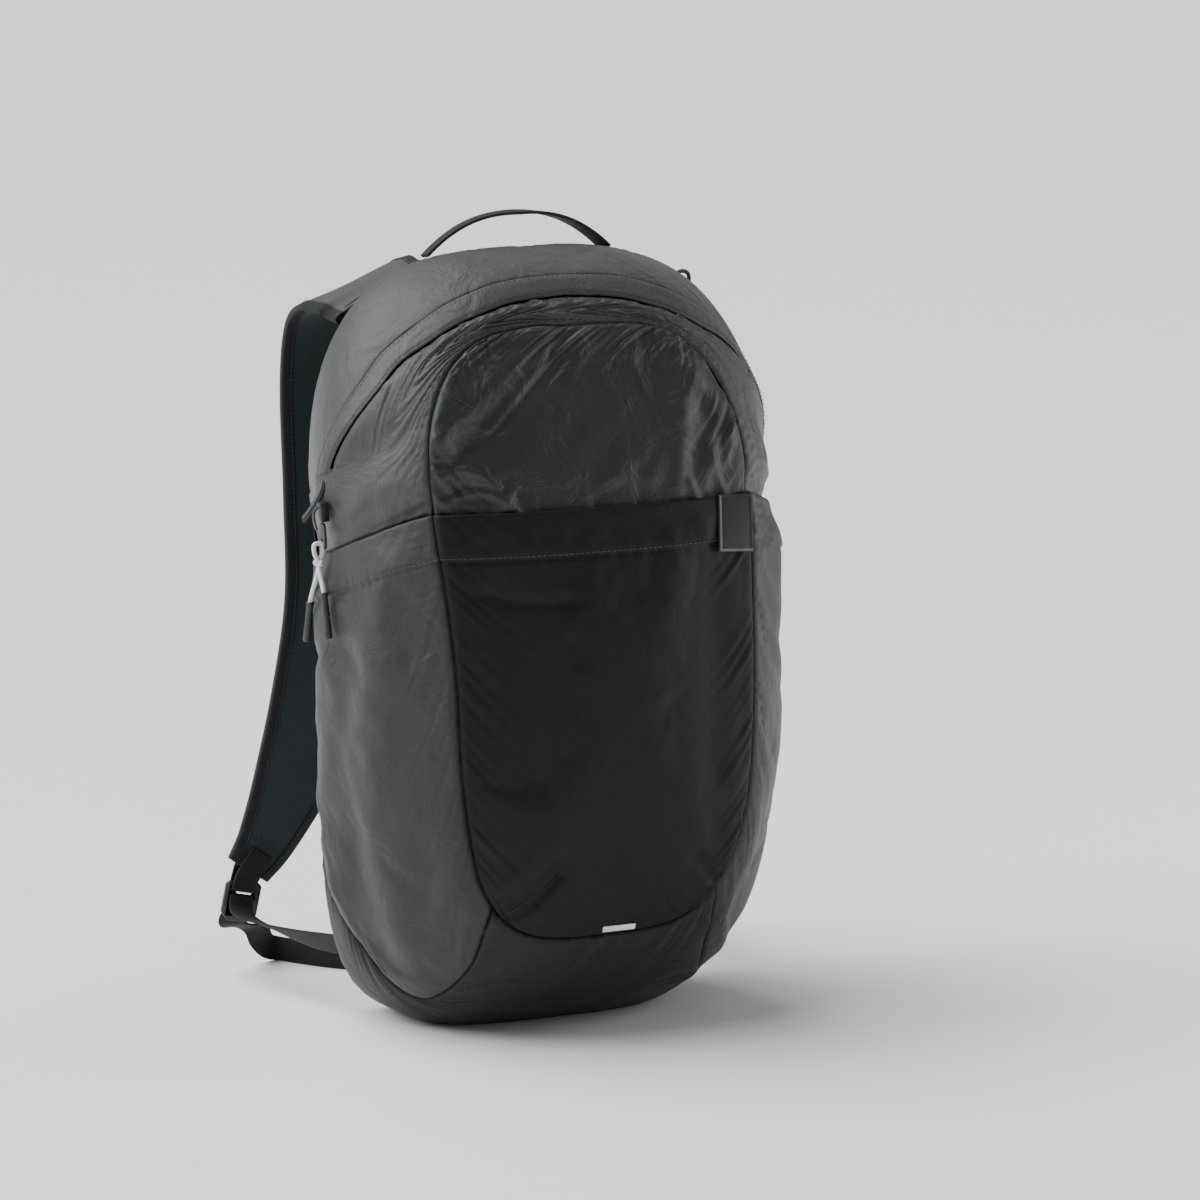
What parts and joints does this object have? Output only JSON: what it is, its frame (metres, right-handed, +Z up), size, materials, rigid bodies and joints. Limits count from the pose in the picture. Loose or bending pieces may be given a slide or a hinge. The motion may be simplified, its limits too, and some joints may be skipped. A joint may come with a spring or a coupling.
{
  "type": "packable backpack",
  "caption": "Light packable backpack that stands on its base: zipped arched top, front and side stretch pockets, webbing handle, padded straps with ladder locks.",
  "frame": {"origin": "middle of the flat base that the bag stands on, on the floor", "axes": "+Z up, -Y towards the bag's front, +Y towards the wearer's back and the shoulder straps, +X to the right of someone who looks at the front"},
  "size_m": [0.305, 0.3, 0.4958],
  "materials": {
    "nylon_grey": "fine matt ripstop",
    "nylon_dark": "fine matt ripstop",
    "spacer_mesh": "knitted spacer mesh",
    "webbing": "ribbed flat weave",
    "plastic": "moulded satin",
    "label": "bare satin patch",
    "reflective": "silver-grey retroreflective",
    "metal": "satin"
  },
  "bodies": {
    "root": {"back_panel": "nylon_dark", "gusset": "nylon_grey", "yoke": "nylon_grey", "zip_band": "nylon_grey", "front_panel": "nylon_dark", "front_pocket": "nylon_dark", "side_pocket_left": "nylon_grey", "side_pocket_right": "nylon_grey", "bottom_panel": "nylon_dark", "handle": "webbing", "strap_pad_left": "spacer_mesh", "ladder_lock_left": "plastic", "strap_loop_left": "webbing", "lower_webbing_left": "webbing", "strap_pad_right": "spacer_mesh", "ladder_lock_right": "plastic", "strap_loop_right": "webbing", "lower_webbing_right": "webbing", "label_patch": "label", "reflective_bar": "reflective", "zip_end": "webbing", "zip_slider": "metal", "pull_tab": "metal", "pull_cord": "reflective", "cord_end_rear": "plastic", "cord_end_front": "plastic", "gear_loop": "webbing"}
  },
  "joints": []
}
